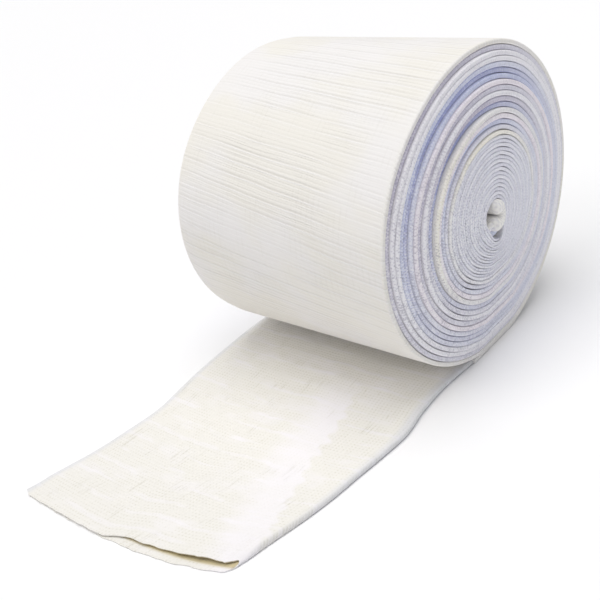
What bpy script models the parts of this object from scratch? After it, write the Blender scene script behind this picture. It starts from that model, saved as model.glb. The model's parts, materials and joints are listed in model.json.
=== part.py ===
"""A tubular compression bandage: a long knitted tube wound flat into a roll, with its free end unrolled.

The roll's axis runs along X. The free end lies on the surface towards -Y, and +Z is up. The origin
is on the surface, straight below the roll's axis and halfway along it. Everything is in metres.
"""

import bisect
import math
from collections import namedtuple

import bmesh
import bpy

# The knitted tube, which is thinner where it is wound tight
FLAT_WIDTH = 0.120  # from side fold to side fold, pressed flat
TIGHT_WALL = 0.00062  # one knitted wall in the inner turns
LOOSE_WALL = 0.001005  # one knitted wall in the outer turns and in the free end
FOLD_RUN = 0.0014  # how far a side fold's round edge reaches in from the fold

# The roll
TIGHT_TURNS = 16
LOOSE_TURNS = 16
EASING_TURNS = 5  # the winding goes from tight to loose over this many turns
TURN_GAP = 0.00019  # air between a turn and the next one
CORE_RADIUS = 0.0074  # free radius inside the first turn
TELESCOPE = 0.0055  # how far the first turn stands out of the last one, along the axis
TELESCOPE_POWER = 3  # the outer turns carry most of that step, so the end is domed
FLAT_SQUASH = 0.0013  # how much the roll's own weight takes off its height at the bottom

# The sagged oval of the roll: each row is a wave round the axis, with its shares of the radius
OvalWave = namedtuple("OvalWave", "waves cosine sine")
OVAL = (
    OvalWave(waves=2, cosine=0.026, sine=0.046),
    OvalWave(waves=3, cosine=-0.004, sine=0.003),
)

# The folded inner end, where the winding starts: a soft S of two round bends
START_PLY = 0.0027  # the tube there, flat but not pressed
START_FILL = 0.90  # the S's length as a share of the core's width
START_LOBE = 0.46  # a bend's outer radius as a share of half that length
START_LEAN = math.radians(-32)  # the S leans back from upright
START_SWEEP = math.radians(235)  # how far round each bend goes
START_PROUD = 0.0015  # how far it stands out of the first turn

# The free end
TAIL_REACH = 0.1793  # from below the axis to the far corner of the cut
CUT_SLANT = 0.0150  # how much nearer to the roll the cut ends at its right corner
CUT_CURVE = 3.3  # the cut runs straight on the left and bends away on the right
LIP_STEP = 0.0038  # how far the lower wall stands out past the upper one at the mouth
TAIL_GAP = 0.0004  # air between the two walls where they lie flat
MOUTH_GAP = 0.0024  # air between them where the mouth stands open
MOUTH_PLACE = 0.89  # where that is, from the left fold to the right one
MOUTH_SPREAD = 0.14
TAIL_RISE = 0.0011  # the upper wall's highest wave
JOIN_RUN = 0.006  # the wound strip goes on this far in front of its contact with the surface

# Edges as shares of half the flat width, and the upper wall's waves as shares of TAIL_RISE
TailRow = namedtuple("TailRow", "along left right rise")
TAIL = (
    TailRow(along=0.000, left=-1.005, right=0.983, rise=0.0),
    TailRow(along=0.135, left=-1.023, right=0.992, rise=0.2),
    TailRow(along=0.260, left=-1.035, right=0.997, rise=0.7),
    TailRow(along=0.370, left=-0.998, right=1.010, rise=0.2),
    TailRow(along=0.470, left=-0.960, right=1.018, rise=0.6),
    TailRow(along=0.570, left=-0.937, right=1.002, rise=1.0),
    TailRow(along=0.675, left=-0.968, right=0.963, rise=0.4),
    TailRow(along=0.780, left=-1.015, right=0.903, rise=0.8),
    TailRow(along=0.885, left=-1.075, right=0.840, rise=0.3),
    TailRow(along=1.000, left=-1.203, right=0.792, rise=0.6),
)

PIECE_GAP = 0.0003  # between two pieces that are one cloth on the real thing

# Faces round each tight turn and each loose one, and along the free end
TIGHT_STEPS = 24
LOOSE_STEPS = 48
TAIL_STEPS = 26
TAIL_ACROSS = 14
START_STEPS = 8  # on each of the two bends of the folded inner end

TURNS = TIGHT_TURNS + LOOSE_TURNS
LOOSE_PLY = 2 * LOOSE_WALL
BOTTOM = -math.pi / 2


def oval_share(angle):
    """The roll's radius in this direction, as a share of its mean."""
    waves = sum(w.cosine * math.cos(w.waves * angle) + w.sine * math.sin(w.waves * angle) for w in OVAL)
    return 1 + waves


def lowest_share():
    """The oval's depth below the axis, as a share of the mean radius."""
    angles = (math.radians(step / 2) for step in range(-240, -120))
    return max(-math.sin(angle) * oval_share(angle) for angle in angles)


def ease(t):
    """0 below 0 and 1 above 1, with a smooth step between."""
    t = min(max(t, 0.0), 1.0)
    return t * t * (3 - 2 * t)


def eased_way(t):
    """The area under ease from 0 to t."""
    return t**3 - t**4 / 2 if 0 < t < 1 else max(t - 0.5, 0.0)


def loosening(turn):
    """Where this turn is on the way from tight to loose: 0 at its start and 1 at its end."""
    return (turn - TIGHT_TURNS) / EASING_TURNS + 0.5


def ply(turn):
    """Thickness of the pressed tube, both walls, after this many turns from the core."""
    return 2 * (TIGHT_WALL + (LOOSE_WALL - TIGHT_WALL) * ease(loosening(turn)))


def inner_radius(turn):
    """Mean radius of the turn's inner face."""
    loose_turns = EASING_TURNS * eased_way(loosening(turn))
    return CORE_RADIUS + turn * (2 * TIGHT_WALL + TURN_GAP) + loose_turns * 2 * (LOOSE_WALL - TIGHT_WALL)


def turn_radius(turn):
    """Mean radius of the middle of the pressed tube."""
    return inner_radius(turn) + ply(turn) / 2


ROLL_RADIUS = inner_radius(TURNS)
FLAT_DEPTH = lowest_share() - FLAT_SQUASH / ROLL_RADIUS


def turn_angle(turn):
    """The winding ends at the bottom, and towards its outer end it comes down the back."""
    return BOTTOM + 2 * math.pi * (TURNS - turn)


def on_flat(angle):
    """True where the roll's weight has flattened the oval."""
    return -math.sin(angle) * oval_share(angle) > FLAT_DEPTH


def flat_front():
    """Angle past the bottom at which the flattened stretch ends, towards the free end."""
    angle = BOTTOM
    while on_flat(angle):
        angle -= 2 * math.pi / LOOSE_STEPS
    return angle + 2 * math.pi / LOOSE_STEPS


LAST_TURN = TURNS + (BOTTOM - flat_front()) / (2 * math.pi)
AXIS_HEIGHT = turn_radius(LAST_TURN) * FLAT_DEPTH + LOOSE_PLY / 2


def wound_point(turn):
    """(y, z) of the strip's middle after this many turns."""
    angle = turn_angle(turn)
    share = oval_share(angle)
    if on_flat(angle):
        share = FLAT_DEPTH / -math.sin(angle)
        if turn > TURNS - 0.5:
            return turn_radius(turn) * share * math.cos(angle), LOOSE_PLY / 2
    radius = turn_radius(turn) * share
    return radius * math.cos(angle), AXIS_HEIGHT + radius * math.sin(angle)


def stand_out(radius):
    """How far a turn of this radius is pushed along the axis, out of the outermost one."""
    return TELESCOPE * (1 - (radius / ROLL_RADIUS) ** TELESCOPE_POWER)


JOIN_Y = wound_point(LAST_TURN)[0] - JOIN_RUN
PathPoint = namedtuple("PathPoint", "x y z ply")


def wound_path():
    """The places at which the wound tube bends, from the core out, and last where it runs on in front."""
    tight = [step / TIGHT_STEPS for step in range(TIGHT_TURNS * TIGHT_STEPS)]
    past_bottom = round((LAST_TURN - TURNS) * LOOSE_STEPS)
    loose_steps = LOOSE_TURNS * LOOSE_STEPS + past_bottom + 1
    loose = [TIGHT_TURNS + step / LOOSE_STEPS for step in range(loose_steps)]
    path = [PathPoint(stand_out(turn_radius(turn)), *wound_point(turn), ply(turn)) for turn in tight + loose]
    return path + [path[-1]._replace(y=JOIN_Y)]


def read_table(rows, along, column):
    """A smooth curve through a column of the table, read at this share of the way along."""
    places = [row.along for row in rows]
    values = [getattr(row, column) for row in rows]

    def slope(k):
        before, after = max(k - 1, 0), min(k + 1, len(rows) - 1)
        return (values[after] - values[before]) / (places[after] - places[before])

    k = min(max(bisect.bisect_right(places, along) - 1, 0), len(rows) - 2)
    run = places[k + 1] - places[k]
    t = (along - places[k]) / run
    return (
        values[k] * (1 + 2 * t) * (1 - t) ** 2
        + slope(k) * run * t * (1 - t) ** 2
        + values[k + 1] * t * t * (3 - 2 * t)
        - slope(k + 1) * run * t * t * (1 - t)
    )


def fold_round(inset):
    """A side fold's rounding: 0 at the fold and 1 past its round edge."""
    return math.sqrt(1 - (1 - min(inset / FOLD_RUN, 1.0)) ** 2)


def tail_point(across, side, along):
    """A point of the free end's skin. side is 1 on the upper wall, -1 on the lower and 0 on a fold."""
    half = FLAT_WIDTH / 2
    left = half * read_table(TAIL, along, "left")
    right = half * read_table(TAIL, along, "right")
    x = left + across * (right - left)
    upper_back = LIP_STEP * ease((across - 0.45) / 0.15) * (1 + side) / 2
    cut = -TAIL_REACH + CUT_SLANT * across**CUT_CURVE + upper_back
    start = JOIN_Y - PIECE_GAP
    y = start + along * (cut - start)
    open_here = math.exp(-(((across - MOUTH_PLACE) / MOUTH_SPREAD) ** 2)) * ease((along - 0.72) / 0.28)
    gap = TAIL_GAP + (MOUTH_GAP - TAIL_GAP) * open_here
    wave = TAIL_RISE * read_table(TAIL, along, "rise") * math.sin(math.pi * across) * ease(along / 0.2)
    height = LOOSE_PLY + gap + wave
    return x, y, height * (1 + side) / 2


def new_object(name, mesh, collection, material):
    obj = bpy.data.objects.new(name, mesh)
    mesh.materials.append(material)
    collection.objects.link(obj)
    return obj


def sheet_mesh(name, across_steps, along_steps, place, thickness_share=None):
    """A grid of faces whose points are moved to place(across step, along step).

    thickness_share(along step), where it is given, goes into the mesh's first vertex group.
    """
    bm = bmesh.new()
    bmesh.ops.create_grid(bm, x_segments=along_steps, y_segments=across_steps, size=0.5)
    weights = bm.verts.layers.deform.verify()
    for vertex in bm.verts:
        along = round((vertex.co.x + 0.5) * along_steps)
        across = round((vertex.co.y + 0.5) * across_steps)
        vertex.co = place(across, along)
        if thickness_share:
            vertex[weights][0] = thickness_share(along)
    bmesh.ops.remove_doubles(bm, verts=bm.verts, dist=1e-6)
    mesh = bpy.data.meshes.new(name)
    bm.to_mesh(mesh)
    bm.free()
    return mesh


def add_wall(obj, thickness, offset, group=None):
    """Gives the sheet its thickness. offset 0 keeps it in the middle, -1 grows it inwards."""
    solidify = obj.modifiers.new("wall", "SOLIDIFY")
    solidify.thickness = thickness
    solidify.offset = offset
    solidify.use_even_offset = True
    solidify.use_rim = True
    if group:
        obj.vertex_groups.new(name=group)
        solidify.vertex_group = group


def shade_round(obj):
    obj.data.shade_smooth()
    obj.data.set_sharp_from_angle(angle=math.radians(40))


def knit_material(name, colour, roughness):
    material = bpy.data.materials.new(name)
    material.use_nodes = True
    principled = material.node_tree.nodes["Principled BSDF"]
    principled.inputs["Base Color"].default_value = (*colour, 1.0)
    principled.inputs["Roughness"].default_value = roughness
    principled.inputs["Metallic"].default_value = 0.0
    return material


def make_wound_roll(collection):
    """The tube pressed flat and wound up, one strip from the core to where it reaches the surface."""
    path = wound_path()

    def place(edge, step):
        point = path[step]
        return (edge - 0.5) * FLAT_WIDTH + point.x, point.y, point.z

    def thickness_share(step):
        return path[step].ply / LOOSE_PLY

    mesh = sheet_mesh("wound_roll", 1, len(path) - 1, place, thickness_share)
    obj = new_object("wound_roll", mesh, collection, knit_material("knit_roll", (0.83, 0.82, 0.86), 0.92))
    add_wall(obj, LOOSE_PLY, 0, "pressed_walls")
    shade_round(obj)
    return obj


def make_unwound_tail(collection):
    """The free end: a flat hollow tube, shut along its side folds and open at its cut mouth."""
    around = 2 * TAIL_ACROSS

    def place(step_round, step_along):
        along = step_along / TAIL_STEPS
        step = step_round % around
        upper = step <= TAIL_ACROSS
        share = step / TAIL_ACROSS if upper else 2 - step / TAIL_ACROSS
        across = 0.5 - 0.5 * math.cos(math.pi * share)
        side = fold_round(min(across, 1 - across) * FLAT_WIDTH) * (1 if upper else -1)
        return tail_point(across, side, along)

    mesh = sheet_mesh("unwound_tail", around, TAIL_STEPS, place)
    obj = new_object("unwound_tail", mesh, collection, knit_material("knit_tail", (0.90, 0.88, 0.84), 0.94))
    add_wall(obj, LOOSE_WALL, -1)
    shade_round(obj)
    return obj


def make_folded_start(collection):
    """The tube's inner end, folded into an S that leans against the top of the core.

    Two round bends open opposite ways, and a straight ply runs slantwise from one to the other.
    """
    top = math.pi / 2 + START_LEAN
    first_turn = (turn_angle(0) - top) / (2 * math.pi) % 1
    room = inner_radius(first_turn) * oval_share(top) * math.cos(math.pi / TIGHT_STEPS) - PIECE_GAP
    half_length = START_FILL * room
    lobe = START_LOBE * half_length
    bend = lobe - START_PLY / 2
    spread = half_length - lobe
    slant = math.asin(bend / spread)
    middle = room - half_length
    out = stand_out(CORE_RADIUS) + START_PROUD

    def place(edge, step):
        upper = step <= START_STEPS
        turned = START_SWEEP * (1 - step / START_STEPS if upper else (step - 1) / START_STEPS - 1)
        around = turned - slant
        side = 1 if upper else -1
        across = side * bend * math.cos(around)
        along = side * (spread + bend * math.sin(around)) + middle
        y = across * math.cos(START_LEAN) - along * math.sin(START_LEAN)
        z = across * math.sin(START_LEAN) + along * math.cos(START_LEAN)
        return (edge - 0.5) * FLAT_WIDTH + out, y, z + AXIS_HEIGHT

    mesh = sheet_mesh("folded_start", 1, 2 * START_STEPS + 1, place)
    obj = new_object("folded_start", mesh, collection, knit_material("knit_start", (0.92, 0.91, 0.90), 0.93))
    add_wall(obj, START_PLY, 0)
    shade_round(obj)
    return obj


def main():
    for obj in list(bpy.data.objects):
        bpy.data.objects.remove(obj, do_unlink=True)
    collection = bpy.data.collections.new("tubular_compression_bandage")
    bpy.context.scene.collection.children.link(collection)
    bandage = bpy.data.objects.new("bandage", None)
    collection.objects.link(bandage)
    for make in (make_wound_roll, make_unwound_tail, make_folded_start):
        make(collection).parent = bandage


main()
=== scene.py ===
# %% [markdown]
# # A tubular compression bandage, wound into a roll
#
# The real thing is a long knitted tube of elastic cotton. It is pressed flat, 12 cm wide, and
# wound up from one end. Here its free end is unrolled again and lies on the table with its mouth
# towards us.
#
# The imported model is loaded first. It holds plain solids of the right size, and each of them is
# dressed below with a finer piece in the same place. The solids stay, hidden.

# %% Load the imported model
import bisect
import json
import math
from collections import namedtuple

import bpy
from mathutils import Matrix, Vector, noise

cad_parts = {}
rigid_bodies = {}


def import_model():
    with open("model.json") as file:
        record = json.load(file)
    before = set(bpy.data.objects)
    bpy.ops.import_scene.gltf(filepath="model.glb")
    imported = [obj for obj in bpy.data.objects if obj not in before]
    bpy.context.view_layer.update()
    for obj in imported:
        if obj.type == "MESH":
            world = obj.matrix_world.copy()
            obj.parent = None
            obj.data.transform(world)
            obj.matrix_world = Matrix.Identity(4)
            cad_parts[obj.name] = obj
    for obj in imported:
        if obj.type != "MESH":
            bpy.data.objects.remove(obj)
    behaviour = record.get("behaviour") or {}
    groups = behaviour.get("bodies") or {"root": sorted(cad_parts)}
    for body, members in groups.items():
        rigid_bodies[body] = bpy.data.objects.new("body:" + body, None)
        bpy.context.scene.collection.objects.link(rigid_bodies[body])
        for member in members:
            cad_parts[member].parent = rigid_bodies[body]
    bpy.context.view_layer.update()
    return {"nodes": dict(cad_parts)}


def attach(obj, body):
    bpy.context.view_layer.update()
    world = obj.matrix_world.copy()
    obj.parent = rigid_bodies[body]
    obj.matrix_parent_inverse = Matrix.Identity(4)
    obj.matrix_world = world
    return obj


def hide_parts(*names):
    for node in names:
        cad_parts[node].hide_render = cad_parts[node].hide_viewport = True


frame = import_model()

print("nodes to dress:", sorted(frame["nodes"]))

# %% [markdown]
# ## Sizes
#
# All lengths are in metres. The roll's axis runs along X, the free end points towards -Y, and the
# origin is on the table, straight below the axis. The first block has the same values as the
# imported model, so that the cloth lies where the solids are. The knit gets thinner towards the
# core, because it was wound tighter.

# %% Sizes of the tube and of the roll
FLAT_WIDTH = 0.120  # from side fold to side fold, pressed flat
TIGHT_WALL = 0.00062  # one knitted wall in the inner turns
LOOSE_WALL = 0.001005  # one knitted wall in the outer turns and the free end
LOOSE_PLY = 2 * LOOSE_WALL
TIGHT_TURNS = 16
LOOSE_TURNS = 16
TURNS = TIGHT_TURNS + LOOSE_TURNS
EASING_TURNS = 5  # from tight to loose over this many turns
TURN_GAP = 0.00019  # air between a turn and the next
CORE_RADIUS = 0.0074
TELESCOPE = 0.0055  # how far the core stands out of the outermost turn
FLAT_SQUASH = 0.0013  # height that the roll loses under its own weight
BOTTOM = -math.pi / 2

OvalWave = namedtuple("OvalWave", "waves cosine sine")
OVAL = (OvalWave(2, 0.026, 0.046), OvalWave(3, -0.004, 0.003))  # the sagged roll isn't quite round

print(f"{TURNS} turns of a tube {1000 * FLAT_WIDTH:.0f} mm wide")

# %% [markdown]
# ## The path of the winding
#
# Seen from its end, the roll is a spiral. Each turn lies on the one inside it, so its radius
# grows by the thickness of the pressed tube, and by a little air. A sum of two waves makes the
# circle a sagging oval, and the bottom is pressed flat where the roll stands. A function of the
# number of turns gives all of it.


# %% The winding as functions of the turn
def ease(t):
    """0 below 0 and 1 above 1, with a smooth step between."""
    t = min(max(t, 0.0), 1.0)
    return t * t * (3 - 2 * t)


def eased_way(t):
    """The area under ease from 0 to t."""
    return t**3 - t**4 / 2 if 0 < t < 1 else max(t - 0.5, 0.0)


def oval_share(angle):
    """The roll's radius in this direction, as a share of its mean."""
    return 1 + sum(
        wave.cosine * math.cos(wave.waves * angle) + wave.sine * math.sin(wave.waves * angle)
        for wave in OVAL
    )


def turned_from(angle, direction):
    """How far an angle lies from a direction, from minus half a turn to half a turn."""
    return (angle - direction + math.pi) % (2 * math.pi) - math.pi


def loosening(turn):
    return (turn - TIGHT_TURNS) / EASING_TURNS + 0.5


def ply(turn):
    """Thickness of the pressed tube after this many turns."""
    return 2 * (TIGHT_WALL + (LOOSE_WALL - TIGHT_WALL) * ease(loosening(turn)))


def inner_radius(turn):
    loose = EASING_TURNS * eased_way(loosening(turn)) * 2 * (LOOSE_WALL - TIGHT_WALL)
    return CORE_RADIUS + turn * (2 * TIGHT_WALL + TURN_GAP) + loose


def turn_radius(turn):
    """Mean radius of the middle of the pressed tube."""
    return inner_radius(turn) + ply(turn) / 2


def turn_angle(turn):
    return BOTTOM + 2 * math.pi * (TURNS - turn)


ROLL_RADIUS = inner_radius(TURNS)
UNDERSIDE = [math.radians(step / 2) for step in range(-240, -120)]
LOWEST_SHARE = max(-math.sin(angle) * oval_share(angle) for angle in UNDERSIDE)
FLAT_DEPTH = LOWEST_SHARE - FLAT_SQUASH / ROLL_RADIUS


def on_flat(angle):
    """True where the roll's weight has pressed it flat."""
    return -math.sin(angle) * oval_share(angle) > FLAT_DEPTH


FLAT_STEP = 2 * math.pi / 48
flat_front = BOTTOM
while on_flat(flat_front - FLAT_STEP):
    flat_front -= FLAT_STEP
LAST_TURN = TURNS + (BOTTOM - flat_front) / (2 * math.pi)
AXIS_HEIGHT = turn_radius(LAST_TURN) * FLAT_DEPTH + LOOSE_PLY / 2


def wound_point(turn):
    """(y, z) of the strip's middle after this many turns."""
    angle = turn_angle(turn)
    share = oval_share(angle)
    if on_flat(angle):
        share = FLAT_DEPTH / -math.sin(angle)
        if turn > TURNS - 0.5:
            return turn_radius(turn) * share * math.cos(angle), LOOSE_PLY / 2
    radius = turn_radius(turn) * share
    return radius * math.cos(angle), AXIS_HEIGHT + radius * math.sin(angle)


def stand_out(radius):
    """How far a turn is pushed along the axis, out of the outermost one."""
    return TELESCOPE * (1 - (radius / ROLL_RADIUS) ** 3)


JOIN_RUN = 0.006  # the strip runs on this far in front of the roll before it opens into the free end
JOIN_Y = wound_point(LAST_TURN)[0] - JOIN_RUN
print(f"roll {2000 * ROLL_RADIUS:.0f} mm across, axis {1000 * AXIS_HEIGHT:.1f} mm up")

# %% [markdown]
# ## How each turn shows on the end of the roll
#
# On the end of the roll every turn shows its side fold, a soft round edge. The winding was never
# even: some turns slipped in and lie in shadow, others stand proud and catch the light. Their
# tints paint this in as well: a sunken turn gets painted shade, a greyer or bluish tint that is
# strongest on the side where its groove lies in shadow, and some proud turns get painted light, a
# cream tint. A short table names the turns that stand out, counted from the core, and the rest
# follow gentle noise.

# %% Tints and painted shade of the folds, and the table of turns
# The greyer and bluish tints are painted shade for sunken turns, and cream on a proud inner turn is
# painted light; lilac is the folds' plain colour.
TINTS = {
    "cream": (0.95, 0.92, 0.82),
    "pale": (0.92, 0.91, 0.95),
    "lilac": (0.85, 0.85, 0.91),
    "haze": (0.80, 0.80, 0.88),
    "pink": (0.92, 0.87, 0.92),
    "sky": (0.62, 0.66, 0.86),
    "painted_shade_blue": (0.40, 0.44, 0.72),
    "painted_shade_mauve": (0.60, 0.57, 0.68),
}
TurnLook = namedtuple("TurnLook", "turn tint push towards")  # push in mm, out of the end
# towards: the direction round the end, in degrees, where a look's painted shade or painted light is
# strongest.
TURN_LOOKS = (
    TurnLook(31, "cream", 0.0, None),
    TurnLook(30, "painted_shade_mauve", -0.9, 128),
    TurnLook(29, "pale", 0.1, None),
    TurnLook(28, "pale", 0.1, None),
    TurnLook(27, "sky", -0.5, 130),
    TurnLook(26, "painted_shade_blue", -1.5, 115),
    TurnLook(25, "sky", -0.6, 75),
    TurnLook(24, "pink", 0.2, None),
    TurnLook(23, "painted_shade_mauve", -0.5, 130),
    TurnLook(22, "pale", 0.3, None),
    TurnLook(21, "painted_shade_mauve", -0.4, 100),
    TurnLook(20, "painted_shade_blue", -1.4, 120),
    TurnLook(19, "cream", 1.1, 150),
    TurnLook(18, "pink", 0.1, None),
    TurnLook(17, "sky", -0.9, 110),
    TurnLook(16, "haze", -0.2, None),
    TurnLook(15, "cream", 0.4, 90),
    TurnLook(14, "lilac", 0.0, None),
    TurnLook(13, "haze", -0.2, None),
)
LOOK_OF = {look.turn: look for look in TURN_LOOKS}
INNER_LOOKS = (  # these two take turns in the middle
    TurnLook(None, "lilac", 0.05, None),
    TurnLook(None, "haze", -0.05, None),
)
CHANGE = 0.16  # share of a turn over which one look goes over into the next
SIDE_SPREAD = math.radians(62)  # how far round from its direction a look stays strong
ELSEWHERE = 0.22  # what is left of it on the far side


def look_of(turn):
    return LOOK_OF.get(turn, INNER_LOOKS[turn % 2])


def look_at(turn, angle):
    """(tint, push in mm) of the winding here, blended where one turn goes over into the next."""
    whole = min(math.floor(turn), TURNS - 1)
    t = ease((turn % 1 - (1 - CHANGE)) / CHANGE)
    tint, push = [0.0, 0.0, 0.0], 0.0
    for look, amount in ((look_of(whole), 1 - t), (look_of(min(whole + 1, TURNS - 1)), t)):
        # A look with a direction is strongest round it: there a sunken turn's painted shade, or a proud
        # turn's painted light, is deepest.
        strong = 1.0
        if look.towards is not None:
            away = turned_from(angle, math.radians(look.towards))
            strong = ELSEWHERE + (1 - ELSEWHERE) * math.exp(-((away / SIDE_SPREAD) ** 2))
        push += amount * look.push * strong
        for k, (plain, own) in enumerate(zip(TINTS["lilac"], TINTS[look.tint])):
            tint[k] += amount * (plain + (own - plain) * strong)
    return tint, push


print(f"{len(TURN_LOOKS)} turns with their own look, {len(TINTS)} tints")

# %% [markdown]
# ## Cloth from a grid
#
# Every piece here is one cloth, so every piece starts the same way: a grid primitive with as many
# faces as the cloth needs. Its points are then moved to their places, and its UV map is set to
# real distances along and across the cloth, in metres. The knit is drawn in these coordinates, so
# that it follows every bend.


# %% Helpers that make a cloth
def deselect_all():
    if bpy.context.mode != "OBJECT":
        bpy.ops.object.mode_set(mode="OBJECT")
    for obj in bpy.context.view_layer.objects:
        obj.select_set(False)


def cloth_grid(name, steps_round, steps_along, place, distances):
    """A grid whose points go to place(step round, step along), and its UVs to distances(the same)."""
    deselect_all()
    bpy.ops.mesh.primitive_grid_add(x_subdivisions=steps_round, y_subdivisions=steps_along, size=1.0)
    cloth = bpy.context.object
    cloth.name = name
    mesh = cloth.data
    mesh.name = name
    uv_map = mesh.uv_layers[0]
    uv_map.name = "cloth"
    for corner in uv_map.data:
        corner.uv = distances(round(corner.uv.x * steps_round), round(corner.uv.y * steps_along))
    for point in mesh.vertices:
        x, y, _ = point.co
        point.co = place(round((x + 0.5) * steps_round), round((y + 0.5) * steps_along))
    mesh.update()
    return cloth


def inside_out(mesh):
    """True if the tube's faces look inwards: then the volume under them comes out negative."""
    volume = sum(face.center.dot(face.normal) * face.area for face in mesh.polygons)
    return volume < 0


def close_seam(cloth, fill_ends):
    """Merges the grid's two long sides, and fills its two ends if asked."""
    deselect_all()
    cloth.select_set(True)
    bpy.context.view_layer.objects.active = cloth
    turn_round = inside_out(cloth.data)
    bpy.ops.object.mode_set(mode="EDIT")
    bpy.ops.mesh.select_all(action="SELECT")
    bpy.ops.mesh.remove_doubles(threshold=1e-6)
    if fill_ends:
        bpy.ops.mesh.fill_holes(sides=0)
    bpy.ops.mesh.select_all(action="SELECT")
    if turn_round:
        bpy.ops.mesh.flip_normals()
    bpy.ops.object.mode_set(mode="OBJECT")


def point_attribute(cloth, name, kind, values):
    """Keeps one number or colour for each point of the cloth."""
    layer = cloth.data.attributes.new(name, kind, "POINT")
    field = "color" if kind == "FLOAT_COLOR" else "value"
    for item, value in zip(layer.data, values):
        setattr(item, field, value)


def shade_smooth(cloth, degrees=60):
    deselect_all()
    cloth.select_set(True)
    bpy.context.view_layer.objects.active = cloth
    bpy.ops.object.shade_smooth_by_angle(angle=math.radians(degrees))


print("helpers for cloth are ready")

# %% [markdown]
# ## Shader maths in plain Python
#
# A knit needs many small sums: stripes, dots, masks. A small class wraps a socket, so that `1 -
# mask * 0.5` adds the Math nodes by itself. Everything else comes from one method that takes a
# node's type, its settings and the values or links of its inputs.


# %% A socket that can be calculated with
class Shade:
    """One output in a material. Python's operators on it add Math nodes."""

    def __init__(self, socket):
        self.socket = socket

    def math(self, operation, *values):
        tree = self.socket.id_data
        return add_node(tree, "ShaderNodeMath", {"operation": operation}, dict(enumerate(values)))

    def __add__(self, other):
        return self.math("ADD", self, other)

    def __mul__(self, other):
        return self.math("MULTIPLY", self, other)

    def __sub__(self, other):
        return self.math("SUBTRACT", self, other)

    def __rsub__(self, other):
        return self.math("SUBTRACT", other, self)

    __radd__ = __add__
    __rmul__ = __mul__

    def sine(self):
        return self.math("SINE", self)

    def clamp(self):
        return self.math("MINIMUM", self.math("MAXIMUM", self, 0.0), 1.0)

    def step(self, low, high):
        """0 below low, 1 above high, smooth between. low may be the larger of the two."""
        settings = {"interpolation_type": "SMOOTHSTEP"}
        if low > high:
            return 1 - self.step(high, low)
        values = {"Value": self, "From Min": low, "From Max": high, "To Min": 0.0, "To Max": 1.0}
        return add_node(self.socket.id_data, "ShaderNodeMapRange", settings, values)


def add_node(tree, kind, settings=None, inputs=None, output=0):
    """Adds a node, sets its settings and then its inputs, and returns one output as a Shade."""
    node = tree.nodes.new(kind)
    for name, value in (settings or {}).items():
        setattr(node, name, value)
    for name, value in (inputs or {}).items():
        if isinstance(value, Shade):
            tree.links.new(value.socket, node.inputs[name])
        else:
            node.inputs[name].default_value = value
    return Shade(node.outputs[output])


CLOTH_ROUGHNESS = 0.95
CLOTH_SPECULAR = 0.1


class Finish:
    """A material being made: its nodes, the knit's own coordinates, and its shader."""

    def __init__(self, name):
        self.material = bpy.data.materials.new(name)
        self.material.use_nodes = True
        self.tree = self.material.node_tree
        self.shader = self.tree.nodes["Principled BSDF"]
        places = self.node("ShaderNodeUVMap", {"uv_map": "cloth"})
        self.along = self.node("ShaderNodeSeparateXYZ", {}, {0: places}, 1)
        self.across = self.node("ShaderNodeSeparateXYZ", {}, {0: places}, 0)
        spot = self.node("ShaderNodeTexCoord", {}, {}, "Object")
        self.x = self.node("ShaderNodeSeparateXYZ", {}, {0: spot}, 0)

    def node(self, kind, settings=None, inputs=None, output=0):
        return add_node(self.tree, kind, settings, inputs, output)

    def attribute(self, name, output="Fac"):
        return self.node("ShaderNodeAttribute", {"attribute_name": name}, {}, output)

    def mix(self, amount, one, other):
        """From one colour to the other. A Mix node takes them as 6 and 7 and gives the result as 2."""
        colours = {0: amount}
        for place, colour in ((6, one), (7, other)):
            colours[place] = colour if isinstance(colour, Shade) else (*colour, 1.0)
        return self.node("ShaderNodeMix", {"data_type": "RGBA"}, colours, 2)

    def noise(self, along_mm, across_mm, detail=2.0, offset=0.0):
        """Soft noise with spots of this size, from 0 to 1 and mostly about a half."""
        place = self.node(
            "ShaderNodeCombineXYZ",
            {},
            {0: self.along * (1000 / along_mm) + offset, 1: self.across * (1000 / across_mm), 2: 0.5},
        )
        return self.node("ShaderNodeTexNoise", {}, {"Vector": place, "Scale": 1.0, "Detail": detail})

    def waves(self, place, pitch_mm):
        """Even stripes, from -1 to 1, this far apart along a coordinate in metres."""
        return (place * (2 * math.pi * 1000 / pitch_mm)).sine()

    def bump(self, height, depth_mm, strength):
        inputs = {"Height": height, "Distance": depth_mm / 1000, "Strength": strength}
        return self.node("ShaderNodeBump", {}, inputs)

    def done(self, colour, normal):
        self.tree.links.new(colour.socket, self.shader.inputs["Base Color"])
        self.tree.links.new(normal.socket, self.shader.inputs["Normal"])
        self.shader.inputs["Roughness"].default_value = CLOTH_ROUGHNESS
        self.shader.inputs["Specular IOR Level"].default_value = CLOTH_SPECULAR
        return self.material


print("shader maths is ready")

# %% [markdown]
# ## The knit of the roll
#
# On the outer turn the rows of the knit run across the tube, so fine ribs lie along the axis:
# a stronger one every few millimetres, and finer ones between. Their dark lines are partly painted
# shade, and a painted highlight runs beside each. On the folds one looks at the bent loops end on,
# as columns of light and dark dots. The tint of each turn was kept on its points and is read here;
# on sunken and proud turns it holds painted shade and painted light.


# %% Finish of the wound cloth
ROW_SKEW = 0.14  # the knit's rows don't run quite straight across the tube
RIB_PITCH = 5.6  # mm from one strong rib to the next
FINE_PITCH = 1.87
WALE_PITCH = 2.9
LOOP_PITCH = (1.3, 1.05)  # mm along and across a fold
CREAM_KNIT = (0.893, 0.868, 0.812)
WHITE_KNIT = (0.900, 0.882, 0.872)
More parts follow.
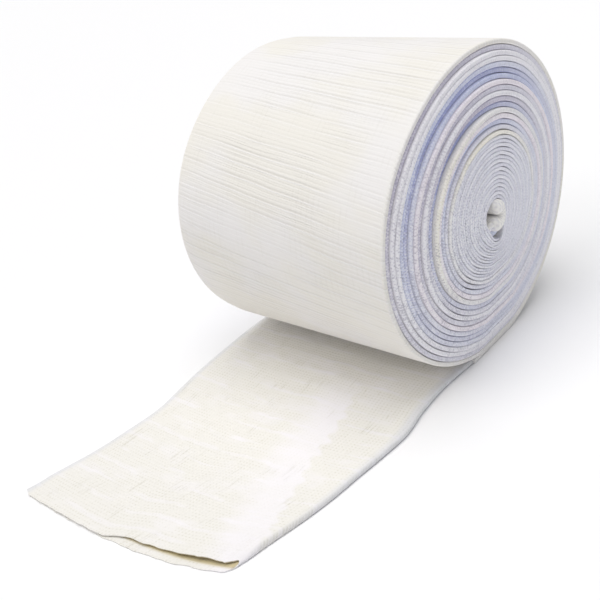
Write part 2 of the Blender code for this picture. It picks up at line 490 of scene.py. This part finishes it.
# RIB_SHADE and RIB_SHINE: painted shade along the ribs and a painted highlight beside them, mixed with
# the knit's own streaks.
RIB_SHADE = (0.60, 0.57, 0.54)
WALE_SHADE = (0.60, 0.57, 0.50)
RIB_SHINE = (0.97, 0.96, 0.97)
LOOP_SHADE = (0.40, 0.39, 0.46)
LOOP_SHINE = (0.99, 0.98, 0.98)


def outer_knit(finish):
    """The colour of the outer turn, and how far its ribs stand up."""
    drift = finish.noise(30, 70) - 0.5
    place = finish.along + drift * 0.0040
    calm = finish.noise(26, 60, 1.0, 9.0).step(0.30, 0.62) * 0.7 + 0.3
    streaks = finish.noise(0.75, 55, 2.0, 7.0)
    # line: painted shade along each rib, with darker streaks of the knit; shine: a painted highlight
    # just beside it. Both also shape the bump.
    line = (
        finish.waves(place, RIB_PITCH).step(0.80, 1.0) * 0.45
        + finish.waves(place, FINE_PITCH).step(0.40, 1.0) * 0.35
        + streaks.step(0.54, 0.74) * 0.45
    ) * calm
    shine = (
        finish.waves(place + 0.0008, RIB_PITCH).step(0.86, 1.0) * 0.7
        + finish.waves(place + 0.0006, FINE_PITCH).step(0.55, 1.0) * 0.3
        + streaks.step(0.47, 0.30) * 0.35
    ) * calm
    patches = finish.noise(30, 44, 2.0, 3.0).step(0.38, 0.64)
    wales = finish.waves(finish.x, WALE_PITCH) * finish.noise(9, 9, 1.0, 5.0).step(0.35, 0.7)
    cloth = finish.mix(patches, CREAM_KNIT, WHITE_KNIT)
    cloth = finish.mix(line.clamp() * 0.26, cloth, RIB_SHADE)
    cloth = finish.mix(wales.step(0.3, 1.0) * 0.07, cloth, WALE_SHADE)
    cloth = finish.mix(shine.clamp() * 0.50, cloth, RIB_SHINE)
    return cloth, shine * 0.5 - line


def fold_knit(finish):
    """The colour of the side folds, and how far their loops stand up."""
    along_mm, across_mm = LOOP_PITCH
    loops = finish.waves(finish.along, along_mm) * finish.waves(finish.across, across_mm)
    specks = finish.noise(0.62, 0.48, 1.0, 11.0)
    worn = finish.noise(12, 1.3, 2.0, 21.0)
    dots = loops * 0.12 + specks + worn * 0.5 - 0.25
    rough = finish.attribute("speckle")
    # Each turn's tint: painted shade on sunken turns, painted light on proud ones.
    tint = finish.attribute("turn_tint", "Color")
    folds = finish.mix(dots.step(0.52, 0.24) * rough * 0.55, tint, LOOP_SHADE)
    folds = finish.mix(dots.step(0.48, 0.74) * rough * 0.60, folds, LOOP_SHINE)
    return folds, dots * 0.8


def wound_knit():
    finish = Finish("wound_knit")
    finish.along = finish.along + finish.x * ROW_SKEW
    cloth, ribs = outer_knit(finish)
    folds, loops = fold_knit(finish)
    fold = finish.attribute("fold")
    relief = ribs * (1 - fold) + loops * fold
    return finish.done(finish.mix(fold, cloth, folds), finish.bump(relief, 0.35, 0.6))


wound_finish = wound_knit()
print("finish:", wound_finish.name)

# %% [markdown]
# ## The knit of the free end
#
# The free end lies open and shows a gauze of small squares. Its elastic threads pull it in at
# every centimetre or so: there the cloth is closed and looks lilac-white, and between it is open
# and creamy. Towards the right fold the open cloth wins, and a broad bright band crosses the
# middle slantwise.


# %% Finish of the free end
BAND_PITCH = 0.0087
MESH_PITCH = (1.6, 1.75)  # mm along and across the tube
BRIGHT_EDGE = 0.0169  # where the bright band's right edge starts, and how it slants
BRIGHT_SLANT = 0.225
OPEN_KNIT = (0.862, 0.842, 0.798)
CLOSED_KNIT = (0.905, 0.882, 0.900)
HOLE_SHADE = (0.62, 0.59, 0.48)
LADDER_SHADE = (0.52, 0.49, 0.37)
# painted shade: the brownish dark deep inside the mouth
CAVITY_PAINTED_SHADE = (0.58, 0.49, 0.27)
# painted shade along the side folds, where the cloth curves under
FOLD_PAINTED_SHADE = (0.64, 0.67, 0.76)


def open_knit():
    finish = Finish("open_knit")
    drift = finish.noise(38, 30, 2.0, 1.0) - 0.5
    jog = finish.noise(60, 4.5, 0.0, 6.0) - 0.5
    place = finish.along + drift * 0.005 + jog * 0.0018
    loose = finish.noise(5, 24, 2.0, 14.0).step(0.40, 0.68)
    bands = finish.waves(place, 1000 * BAND_PITCH) - loose * 0.7
    patches = finish.noise(9, 22, 2.0, 5.0)
    past_edge = finish.x - finish.along * BRIGHT_SLANT - BRIGHT_EDGE + drift * 0.006 + bands * 0.0014
    bright = (
        past_edge.step(0.0006, -0.0022)
        * past_edge.step(-0.026, -0.010)
        * finish.along.step(0.030, 0.056)
    )
    closed = bands.step(0.45, 1.0) * 0.50 + bright * 0.85 + patches.step(0.48, 0.72) * 0.45
    closed = closed.clamp()

    along_mm, across_mm = MESH_PITCH
    wales = finish.waves(finish.across + jog * 0.0005, across_mm)
    rows = finish.waves(finish.along, along_mm)
    holes = (wales * 0.5 + 0.5) * (rows * 0.5 + 0.5)
    uneven = finish.noise(2.2, 3.0, 1.0, 17.0).step(0.30, 0.66)
    run = finish.noise(11, 0.75, 1.0, 2.0).step(0.56, 0.78)
    ladders = run * finish.noise(12, 16, 1.0, 8.0).step(0.50, 0.66)
    gaps = holes.step(0.35, 0.95) * uneven * (1 - closed * 0.8)
    cloth = finish.mix(closed, OPEN_KNIT, CLOSED_KNIT)
    cloth = finish.mix(gaps * 0.42, cloth, HOLE_SHADE)
    cloth = finish.mix(ladders * (1 - closed * 0.7) * 0.40, cloth, LADDER_SHADE)
    # painted shade deep inside the mouth, on the inner skin behind the lower lip
    cloth = finish.mix(finish.attribute("inside") * 0.9, cloth, CAVITY_PAINTED_SHADE)
    # painted shade along the side folds
    cloth = finish.mix(finish.attribute("fold") * 0.42, cloth, FOLD_PAINTED_SHADE)

    relief = closed * 0.5 - holes * (1 - closed * 0.6) * 0.6 - ladders * 0.6
    return finish.done(cloth, finish.bump(relief, 0.3, 0.6))


tail_finish = open_knit()
print("finish:", tail_finish.name)

# %% [markdown]
# ## The knit of the folded start
#
# The inner end was never pulled tight, so it stays soft and pale, with only a fine grain of
# loops. Where it runs on through the pocket, behind and below the puffs, painted shade makes it
# bluish and darker.


# %% Finish of the folded start
POCKET_FROM = 0.0185  # along the cloth, where the two puffs end
PUFF_CREAM = (0.95, 0.935, 0.89)
PUFF_WHITE = (0.90, 0.89, 0.93)
POCKET_PAINTED_SHADE = (0.70, 0.74, 0.88)
PUFF_SHADE = (0.52, 0.51, 0.58)


def soft_knit():
    finish = Finish("soft_knit")
    loops = finish.waves(finish.along, 1.6) * finish.waves(finish.across, 1.3) * 0.5 + 0.5
    specks = finish.noise(1.2, 1.2, 2.0)
    tint = finish.mix(finish.noise(4, 5, 1.0, 4.0).step(0.4, 0.65), PUFF_CREAM, PUFF_WHITE)
    # painted shade on the stretch in the pocket
    tint = finish.mix(finish.along.step(POCKET_FROM, POCKET_FROM + 0.004), tint, POCKET_PAINTED_SHADE)
    grain = (loops * 0.5 + specks * 0.5).step(0.62, 0.36)
    return finish.done(
        finish.mix(grain * 0.30, tint, PUFF_SHADE), finish.bump(loops * 0.5 + specks, 0.3, 0.5)
    )


start_finish = soft_knit()
print("finish:", start_finish.name)

# %% [markdown]
# ## A pressed tube that follows a path
#
# The roll and its folded start are the same tube, pressed flat: two walls with a round fold on
# each side. The section of it is walked once round, from one fold to the other and back, and
# carried along the path. A loose fold also has a shallow groove, because its two walls part a
# little before they bend over.

# %% Section of the pressed tube
FOLD_STEPS = 8  # faces round each side fold
NEAR_FOLD = (0.0035, 0.0090)  # the flat walls get more rows of points here
DROOP_RUN = 0.010  # the outermost cloth sinks towards its left fold over this length
GROOVE_WIDTH = 0.35  # radians round the fold
Station = namedtuple("Station", "x y z ply groove blunt tint speckle fold droop")
SectionPoint = namedtuple("SectionPoint", "x out fold")


def pressed_section(thickness, groove, blunt):
    """The points round the pressed tube: how far along X, how far out, and 1 on a fold."""
    half = thickness / 2
    insets = (*NEAR_FOLD, FLAT_WIDTH / 2, *(FLAT_WIDTH - near for near in reversed(NEAR_FOLD)))
    points = []
    for side in (1, -1):
        for step in range(FOLD_STEPS + 1):
            angle = math.pi / 2 - math.pi * step / FOLD_STEPS
            reach = half * (1 - groove * math.exp(-((angle / GROOVE_WIDTH) ** 2)))
            end = FLAT_WIDTH / 2 - half + reach * max(math.cos(angle), 0.0) ** (1 - blunt)
            points.append(SectionPoint(side * end, side * half * math.sin(angle), 1.0))
        for inset in insets:
            points.append(SectionPoint(side * (FLAT_WIDTH / 2 - inset), -side * half, 0.0))
    return points + points[:1]


def pressed_tube(name, stations):
    """Carries the section along the stations."""
    sections = [pressed_section(s.ply, s.groove, s.blunt) for s in stations]
    normals = []
    for k in range(len(stations)):
        before, after = stations[max(k - 1, 0)], stations[min(k + 1, len(stations) - 1)]
        normals.append(Vector((after.z - before.z, -(after.y - before.y))).normalized())
    lengths = [0.0]
    for one, other in zip(stations, stations[1:]):
        lengths.append(lengths[-1] + math.hypot(other.y - one.y, other.z - one.z))
    rounds = [0.0]
    for one, other in zip(sections[0], sections[0][1:]):
        rounds.append(rounds[-1] + math.hypot(other.x - one.x, other.out - one.out))

    def place(step_round, step_along):
        station, point = stations[step_along], sections[step_along][step_round]
        normal = normals[step_along]
        near_left = ease((DROOP_RUN - FLAT_WIDTH / 2 - point.x) / DROOP_RUN)
        out = point.out - station.droop * near_left**2
        return station.x + point.x, station.y - normal.x * out, station.z - normal.y * out

    def distances(step_round, step_along):
        return rounds[step_round], lengths[step_along]

    cloth = cloth_grid(name, len(rounds) - 1, len(stations) - 1, place, distances)
    return cloth, sections, lengths[-1]


print("section has", len(pressed_section(LOOSE_PLY, 0.2, 0.0)) - 1, "points")

# %% [markdown]
# ## The wound roll
#
# The real roll is one strip of about 7 m, so it is modelled as one strip too, all 32 turns of it,
# and not as a cylinder with rings drawn on its end: the folds then shade each other by
# themselves. Small noise in the radius and along the axis makes the turns uneven, the same for
# neighbours, so that none runs into another.

# %% Wind the roll
FIRST_TURN = -1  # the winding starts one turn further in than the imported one
TIGHT_STEPS = 72  # stations round each tight turn
LOOSE_STEPS = 126
OUTER_FROM = 30.7  # from here on the cloth lies outermost, and shows its face
OUTER_RUN = 0.35  # of a turn, over which it gets there
FACE_ON_FOLD = 0.85  # how much of the fold's look it has lost by then
SETTLE = 1.2  # the last turns lie even, over this many turns
DROOP = 0.0012
GROOVE = 0.35  # how deep a loose fold's groove is, as a share of half the ply
BLUNT = 0.5  # the tight turns are pressed so hard that their folds are nearly square
CALM_TIGHT = 0.65  # how much less the tight turns are pushed about
RADIUS_NOISE = 0.00024
PUSH_NOISE = 0.00045
SPECKLE_SIDE = math.radians(190)  # the loops show most on this side of the end
SPECKLE_SPREAD = 1.1
SPECKLE_LEAST = 0.35  # and this much on the far side
SLUMP_RADIUS = 0.42 * ROLL_RADIUS  # the turns inside this have slumped with the core
SLUMP = 0.0026
SAG = 0.0048  # the core also hangs down this much into a pocket
SAG_SPREAD = 0.60


def slump_share(radius):
    return min(max((SLUMP_RADIUS - radius) / (SLUMP_RADIUS - CORE_RADIUS), 0.0), 1.0)


def sag_at(angle):
    return SAG * math.exp(-((turned_from(angle, BOTTOM) / SAG_SPREAD) ** 2))


def uneven(side, up, turn, lumps, per_turn):
    """Noise that has this many lumps to a radius, and changes this fast from turn to turn."""
    return noise.noise(Vector((side * lumps, up * lumps, turn * per_turn)))


def wound_station(turn):
    y, z = wound_point(turn)
    radius = turn_radius(turn)
    angle = turn_angle(turn)
    side, up = math.cos(angle), math.sin(angle)
    tint, push = look_at(turn, angle)
    settled = ease((TURNS - turn) / SETTLE)
    outermost = ease((turn - OUTER_FROM) / OUTER_RUN)
    loose = ease(loosening(turn))
    tight = 1 - loose

    wobble = RADIUS_NOISE * uneven(side, up, turn, 1.6 + 3 * tight, 0.22 + 0.5 * tight) * settled
    wobble += sag_at(angle) * slump_share(radius)
    shift = PUSH_NOISE * uneven(side, up, turn, 2 + 4 * tight, 1.3) * (1 - CALM_TIGHT * tight)
    closer = 0.0
    if radius < SLUMP_RADIUS:
        closer = (sag_at(angle) - SLUMP * up) / (SLUMP_RADIUS - CORE_RADIUS)
    from_speckle_side = turned_from(angle, SPECKLE_SIDE) / SPECKLE_SPREAD
    return Station(
        x=stand_out(radius) + (push * 0.001 + shift) * settled,
        y=y + wobble * side,
        z=z + wobble * up - SLUMP * slump_share(radius),
        ply=(ply(turn) + TURN_GAP) * (1 - closer) - TURN_GAP * 0.7,
        groove=GROOVE * loose,
        blunt=BLUNT * tight,
        tint=tint,
        speckle=SPECKLE_LEAST + (1 - SPECKLE_LEAST) * math.exp(-(from_speckle_side**2)),
        fold=1 - FACE_ON_FOLD * outermost,
        droop=DROOP * outermost * ease((TURNS - turn) / 0.3),
    )


tight_count = (TIGHT_TURNS - FIRST_TURN) * TIGHT_STEPS
tight_turns = [FIRST_TURN + step / TIGHT_STEPS for step in range(tight_count)]
loose_run = LAST_TURN - TIGHT_TURNS
loose_count = round(loose_run * LOOSE_STEPS)
loose_turns = [TIGHT_TURNS + loose_run * step / loose_count for step in range(loose_count + 1)]
roll_path = [wound_station(turn) for turn in tight_turns + loose_turns]
roll_path.append(roll_path[-1]._replace(y=JOIN_Y))

wound_cloth, roll_sections, wound_length = pressed_tube("wound_cloth", roll_path)
steps_round = len(roll_sections[0])
marks = [divmod(index, steps_round) for index in range(len(wound_cloth.data.vertices))]
point_attribute(wound_cloth, "fold", "FLOAT", [
    roll_sections[along][round_].fold * roll_path[along].fold for along, round_ in marks
])
point_attribute(wound_cloth, "turn_tint", "FLOAT_COLOR", [
    (*roll_path[along].tint, 1.0) for along, _ in marks
])
point_attribute(wound_cloth, "speckle", "FLOAT", [roll_path[along].speckle for along, _ in marks])
close_seam(wound_cloth, fill_ends=True)
shade_smooth(wound_cloth)
wound_cloth.data.materials.append(wound_finish)
print(f"wound cloth: {len(wound_cloth.data.polygons)} faces, {wound_length:.2f} m long")

# %% [markdown]
# ## The folded start
#
# The inner end is folded on itself inside the core: two soft puffs, one above the other, with a
# dark slit between them on the left and a crease where they hang together on the right. Below
# them it runs on, sunken, through the pocket. It is the same tube on its own short path, but
# swollen, because nothing presses it there.

# %% Fold the start
START_PROUD = 0.0030  # how far it stands out of the first turn
START_STEPS = 60
RUN_ON_STEPS = 30
PUFF_PLY = 0.0062  # thickness of a puff
CREASE_PLY = 0.0046  # and of the bend between them
END_PLY = 0.0020
RUN = 0.0030  # straight stretch of each puff
PUFF_RISE = 0.0034  # from the middle to the middle of each puff
LOWER_LEFT = 0.0018  # the lower puff sits this much further left
BEND_AT = 0.0016  # the bend's centre, to the right of the middle
POCKET_PLY = 0.0034
POCKET_DEEP = 0.0046  # how far the stretch in the pocket lies behind the puffs
POCKET_RUN = 0.0046
POCKET_DROP = 0.0051
END_SHARE = 0.16  # the upper puff's thin end, as a share of the way
END_DEEP = 0.0022
CREASE_SHARE = 0.11
CREASE_DEEP = 0.0008


def puff_station(step):
    """Along the upper puff to the right, round the bend, and back along the lower one."""
    t = step / START_STEPS
    turned = math.pi * ease((t - 0.34) / 0.32)
    upper = ease((0.34 - t) / 0.34) * RUN
    lower = ease((t - 0.66) / 0.34) * RUN
    y = BEND_AT - upper - lower + PUFF_RISE * 0.75 * math.sin(turned)
    y -= LOWER_LEFT * ease((t - 0.4) / 0.3)
    z = PUFF_RISE * math.cos(turned)
    full = ease(t / END_SHARE)
    swollen = PUFF_PLY + (CREASE_PLY - PUFF_PLY) * math.exp(-(((t - 0.5) / CREASE_SHARE) ** 2))
    thickness = END_PLY + (swollen - END_PLY) * full
    thickness += (POCKET_PLY - thickness) * ease((t - 0.86) / 0.14)
    crease = math.exp(-(((t - 0.5) / 0.1) ** 2))
    x = START_PROUD - END_DEEP * (1 - full) - CREASE_DEEP * crease
    x -= POCKET_DEEP * 0.5 * ease((t - 0.84) / 0.16)
    return x, y, z, thickness


def pocket_station(step):
    """Round to the left of the lower puff, down, and to the right through the pocket."""
    _, y, z, _ = puff_station(START_STEPS)
    t = step / RUN_ON_STEPS
    turned = math.pi * ease(t / 0.5)
    y += ease((t - 0.4) / 0.6) * POCKET_RUN - POCKET_DROP * 0.25 * math.sin(turned)
    z -= POCKET_DROP / 2 * (1 - math.cos(turned))
    x = START_PROUD - POCKET_DEEP * (0.5 + 0.5 * ease(t / 0.4))
    return x, y, z, POCKET_PLY + (END_PLY - POCKET_PLY) * ease((t - 0.8) / 0.2)


start_places = [puff_station(step) for step in range(START_STEPS + 1)]
start_places += [pocket_station(step) for step in range(1, RUN_ON_STEPS + 1)]
core_x, core_z = stand_out(CORE_RADIUS), AXIS_HEIGHT - SLUMP
start_path = [
    Station(core_x + x, y, core_z + z, thickness, 0.0, 0.0, TINTS["pale"], 1.0, 1.0, 0.0)
    for x, y, z, thickness in start_places
]
start_cloth, _, start_length = pressed_tube("start_cloth", start_path)
close_seam(start_cloth, fill_ends=True)
shade_smooth(start_cloth)
start_cloth.data.materials.append(start_finish)
print(f"start cloth: {len(start_cloth.data.polygons)} faces, {1000 * start_length:.0f} mm long")

# %% [markdown]
# ## The free end
#
# Here the tube opens again. It is a flat hollow tube with a round fold on each side: wide at its
# left corner, drawn in on the right, with its upper lip a little behind the lower one. The grid
# is wrapped round the tube, its long sides are merged, and Solidify gives the cloth its wall,
# inwards, so that the mouth is really open.

# %% Sizes of the free end
TAIL_REACH = 0.1793  # from below the axis to the far corner of the cut
CUT_SLANT = 0.0150
CUT_CURVE = 3.3
LIP_STEP = 0.0038  # how far the lower lip stands out past the upper one
TAIL_GAP = 0.0004
MOUTH_GAP = 0.0020
MOUTH_PLACE = 0.89  # from the left fold to the right one
MOUTH_SPREAD = 0.14
TAIL_RISE = 0.0011
FOLD_RUN = 0.0014

TailRow = namedtuple("TailRow", "along left right rise")
TAIL = (
    TailRow(0.000, -1.005, 0.983, 0.0),
    TailRow(0.135, -1.023, 0.957, 0.2),
    TailRow(0.260, -1.020, 0.972, 0.7),
    TailRow(0.370, -1.005, 1.013, 0.2),
    TailRow(0.470, -0.972, 0.997, 0.6),
    TailRow(0.570, -0.939, 0.968, 1.0),
    TailRow(0.675, -0.971, 0.940, 0.4),
    TailRow(0.780, -1.018, 0.893, 0.8),
    TailRow(0.885, -1.100, 0.832, 0.3),
    TailRow(1.000, -1.203, 0.775, 0.6),
)


def read_table(rows, along, column):
    """A smooth curve through a column of the table, read at this share of the way along."""
    places = [row.along for row in rows]
    values = [getattr(row, column) for row in rows]

    def slope(k):
        before, after = max(k - 1, 0), min(k + 1, len(rows) - 1)
        return (values[after] - values[before]) / (places[after] - places[before])

    k = min(max(bisect.bisect_right(places, along) - 1, 0), len(rows) - 2)
    run = places[k + 1] - places[k]
    t = (along - places[k]) / run
    return (
        values[k] * (1 + 2 * t) * (1 - t) ** 2
        + slope(k) * run * t * (1 - t) ** 2
        + values[k + 1] * t * t * (3 - 2 * t)
        - slope(k + 1) * run * t * t * (1 - t)
    )


print(f"free end reaches {1000 * (TAIL_REACH + JOIN_Y):.0f} mm past the roll")

# %% Lay out the free end
TAIL_ACROSS = 72
TAIL_STEPS = 190
BAND_RELIEF = 0.00012  # the closed bands stand this much above the open knit
CORNER_ROUND = 0.0020  # the corners of the cut are rounded by this much, over this share of its width
CORNER_RUN = 0.045
MOUTH_LEFT = -0.066  # the cut's left end, and its width
MOUTH_WIDTH = 0.118
LIP_RUN = 0.022  # the wall gets thin over this length
LIP_WALL = 0.45  # the cloth is thinner at its cut edge, by this share


Crumple = namedtuple("Crumple", "per_x per_y seed height")
CRUMPLES = (Crumple(38, 30, 2.0, 0.0005), Crumple(90, 70, 5.0, 0.0002))  # lumps per metre, metres
Fray = namedtuple("Fray", "per_x seed length")
FRAYS = (Fray(700, 3.0, 0.0004), Fray(160, 7.0, 0.0006))


def fold_round(inset):
    """A side fold's rounding: 0 at the fold and 1 past its round edge."""
    return math.sqrt(1 - (1 - min(inset / FOLD_RUN, 1.0)) ** 2)


def tail_across(step_round):
    """(share of the way from the left fold, side) of this step. side is 1 on the upper wall."""
    step = step_round % (2 * TAIL_ACROSS)
    upper = step <= TAIL_ACROSS
    share = step / TAIL_ACROSS if upper else 2 - step / TAIL_ACROSS
    across = 0.5 - 0.5 * math.cos(math.pi * share)
    return across, fold_round(min(across, 1 - across) * FLAT_WIDTH) * (1 if upper else -1)


def cut_line(across):
    """The lower lip's edge: it slants back to the right."""
    return -TAIL_REACH + CUT_SLANT * across**CUT_CURVE


def tail_edges(along):
    """X of the left and the right fold."""
    half = FLAT_WIDTH / 2
    return half * read_table(TAIL, along, "left"), half * read_table(TAIL, along, "right")


def tail_y(along, across, side, x):
    upper_back = LIP_STEP * ease((across - 0.45) / 0.15) * (1 + side) / 2
    ragged = sum(fray.length * noise.noise(Vector((x * fray.per_x, side, fray.seed))) for fray in FRAYS)
    corner = CORNER_ROUND * ease(1 - min(across, 1 - across) / CORNER_RUN) ** 2
    y = JOIN_Y + along * (cut_line(across) + upper_back - JOIN_Y)
    return y + (ragged + corner) * ease((along - 0.94) / 0.06)


def tail_height(along, across, x, y):
    """Height of the upper wall over the table."""
    to_mouth = math.exp(-(((across - MOUTH_PLACE) / MOUTH_SPREAD) ** 2)) * ease((along - 0.72) / 0.28)
    gap = (TAIL_GAP + (MOUTH_GAP - TAIL_GAP) * to_mouth) * ease(along / 0.04)
    gap -= (LOOSE_PLY * (1 - LIP_WALL) + TAIL_GAP * 0.8) * ease((along - 0.90) / 0.10)
    arch = math.sin(math.pi * across)
    wave = TAIL_RISE * read_table(TAIL, along, "rise") * arch * ease(along / 0.2)
    soft = BAND_RELIEF * math.sin(2 * math.pi * y / BAND_PITCH) * arch
    for lump in CRUMPLES:
        soft += lump.height * noise.noise(Vector((x * lump.per_x, y * lump.per_y, lump.seed)))
    return LOOSE_PLY + gap + wave + soft * ease(along / 0.12) * arch**0.5


def tail_place(step_round, step_along):
    along = step_along / TAIL_STEPS
    across, side = tail_across(step_round)
    left, right = tail_edges(along)
    x = left + across * (right - left)
    y = tail_y(along, across, side, x)
    return x, y, tail_height(along, across, x, y) * (1 + side) / 2


def tail_distances(step_round, step_along):
    across, _ = tail_across(step_round)
    return (across - 0.5) * FLAT_WIDTH, step_along / TAIL_STEPS * (TAIL_REACH + JOIN_Y)


def depth_share(index, point):
    """1 on the inner skin, deeper in than the lower lip shows, and 0 outside: where the mouth's painted
    shade goes.
    """
    if index < outer_points:
        return 0.0
    across = min(max((point.x - MOUTH_LEFT) / MOUTH_WIDTH, 0.0), 1.0)
    return ease((point.y - cut_line(across) - LIP_STEP + 0.0004) / 0.0016)


tail_cloth = cloth_grid("tail_cloth", 2 * TAIL_ACROSS, TAIL_STEPS, tail_place, tail_distances)
close_seam(tail_cloth, fill_ends=False)
outer_points = len(tail_cloth.data.vertices)

wall = tail_cloth.modifiers.new("wall", "SOLIDIFY")
wall.thickness = LOOSE_WALL
wall.offset = -1
wall.use_even_offset = True
thin_lips = tail_cloth.vertex_groups.new(name="wall_share")
for point in tail_cloth.data.vertices:
    to_lip = ease((-point.co.y - TAIL_REACH + LIP_RUN + 0.008) / LIP_RUN)
    thin_lips.add([point.index], 1 - (1 - LIP_WALL) * to_lip, "REPLACE")
wall.vertex_group = "wall_share"
bpy.ops.object.modifier_apply(modifier="wall")

# The inner skin deep in the mouth is marked here for its painted shade.
point_attribute(tail_cloth, "inside", "FLOAT", [
    depth_share(index, point.co) for index, point in enumerate(tail_cloth.data.vertices)
])
print(f"tail cloth: {len(tail_cloth.data.polygons)} faces")


# %% Mark the side folds of the free end, which get painted shade
def fold_share(point):
    """1 on a side fold, falling to 0 a few millimetres in."""
    along = min(max((JOIN_Y - point.y) / (JOIN_Y + TAIL_REACH), 0.0), 1.0)
    left, right = tail_edges(along)
    return 1 - ease((min(point.x - left, right - point.x) - 0.0005) / 0.0045)


point_attribute(tail_cloth, "fold", "FLOAT", [
    fold_share(point.co) for point in tail_cloth.data.vertices
])
shade_smooth(tail_cloth, 50)
tail_cloth.data.materials.append(tail_finish)
print("side folds marked")

# %% [markdown]
# ## Put the pieces in the imported model's place
#
# Each cloth stands for one imported solid and rides on the only body there is; the solid is hidden.

# %% Put each cloth on the body and hide its solid
for piece, node, slot in (
    (wound_cloth, "wound_roll", "knit_roll"),
    (start_cloth, "folded_start", "knit_start"),
    (tail_cloth, "unwound_tail", "knit_tail"),
):
    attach(piece, "root")
    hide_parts(node)

TAIL_REACH + JOIN_Y

# %% [markdown]
# ## Table and light
#
# A plain pale table and soft light. Each light is a sun with a very wide angle, which works like
# a large softbox: a strong one overhead, a weaker one from the front and the left, and a faint
# one on the roll's end. A pale sky fills the shadows.

# %% Table
deselect_all()
bpy.ops.mesh.primitive_plane_add(size=8.0, location=(0.0, 0.0, -0.00012))
table = bpy.context.object
table.name = "table"
table_finish = bpy.data.materials.new("pale_table")
table_finish.use_nodes = True
table_shader = table_finish.node_tree.nodes["Principled BSDF"]
table_shader.inputs["Base Color"].default_value = (0.96, 0.96, 0.97, 1.0)
table_shader.inputs["Roughness"].default_value = 0.9
table.data.materials.append(table_finish)

# %% Light
world = bpy.data.worlds.new("studio")
world.use_nodes = True
background = world.node_tree.nodes["Background"]
background.inputs["Color"].default_value = (0.93, 0.95, 1.0, 1.0)
background.inputs["Strength"].default_value = 0.34
bpy.context.scene.world = world
bpy.context.scene.view_settings.view_transform = "Standard"


def soft_sun(name, towards, strength, angle, colour):
    """A sun that shines from this direction. A wide angle makes its shadows soft."""
    bpy.ops.object.light_add(type="SUN")
    sun = bpy.context.object
    sun.name = name
    sun.data.energy = strength
    sun.data.angle = math.radians(angle)
    sun.data.color = colour
    sun.rotation_euler = Vector(towards).to_track_quat("Z", "Y").to_euler()


soft_sun("top_light", (0.0, 0.10, 1.0), 1.75, 50, (1.0, 0.99, 0.97))
soft_sun("front_light", (-0.30, -0.55, 0.78), 0.72, 40, (1.0, 0.965, 0.91))
soft_sun("end_light", (0.97, 0.0, 0.12), 0.14, 60, (0.88, 0.92, 1.0))
print("three soft lights and a pale sky")

# %% [markdown]
# ## Camera
#
# The camera stands to the right in front of the roll and looks down on it, rolled a little to its
# left, with a lens that is somewhat longer than normal, as product photographers use.

# %% Camera
CAMERA_PLACE = (0.27181, -0.28578, 0.24717)
CAMERA_RIGHT = (0.72262489, 0.64821315, -0.24006872)
CAMERA_UP = (-0.19151329, 0.521452, 0.83151096)
CAMERA_BACK = (0.66418065, -0.55489416, 0.50095563)

deselect_all()
bpy.ops.object.camera_add()
camera = bpy.context.object
camera.name = "camera"
camera.matrix_world = Matrix.Translation(CAMERA_PLACE) @ Matrix(
    (CAMERA_RIGHT, CAMERA_UP, CAMERA_BACK)
).transposed().to_4x4()
camera.data.sensor_width = 36
camera.data.lens = 56.587
camera.data.clip_start = 0.01
bpy.context.scene.camera = camera
print("camera at", CAMERA_PLACE)
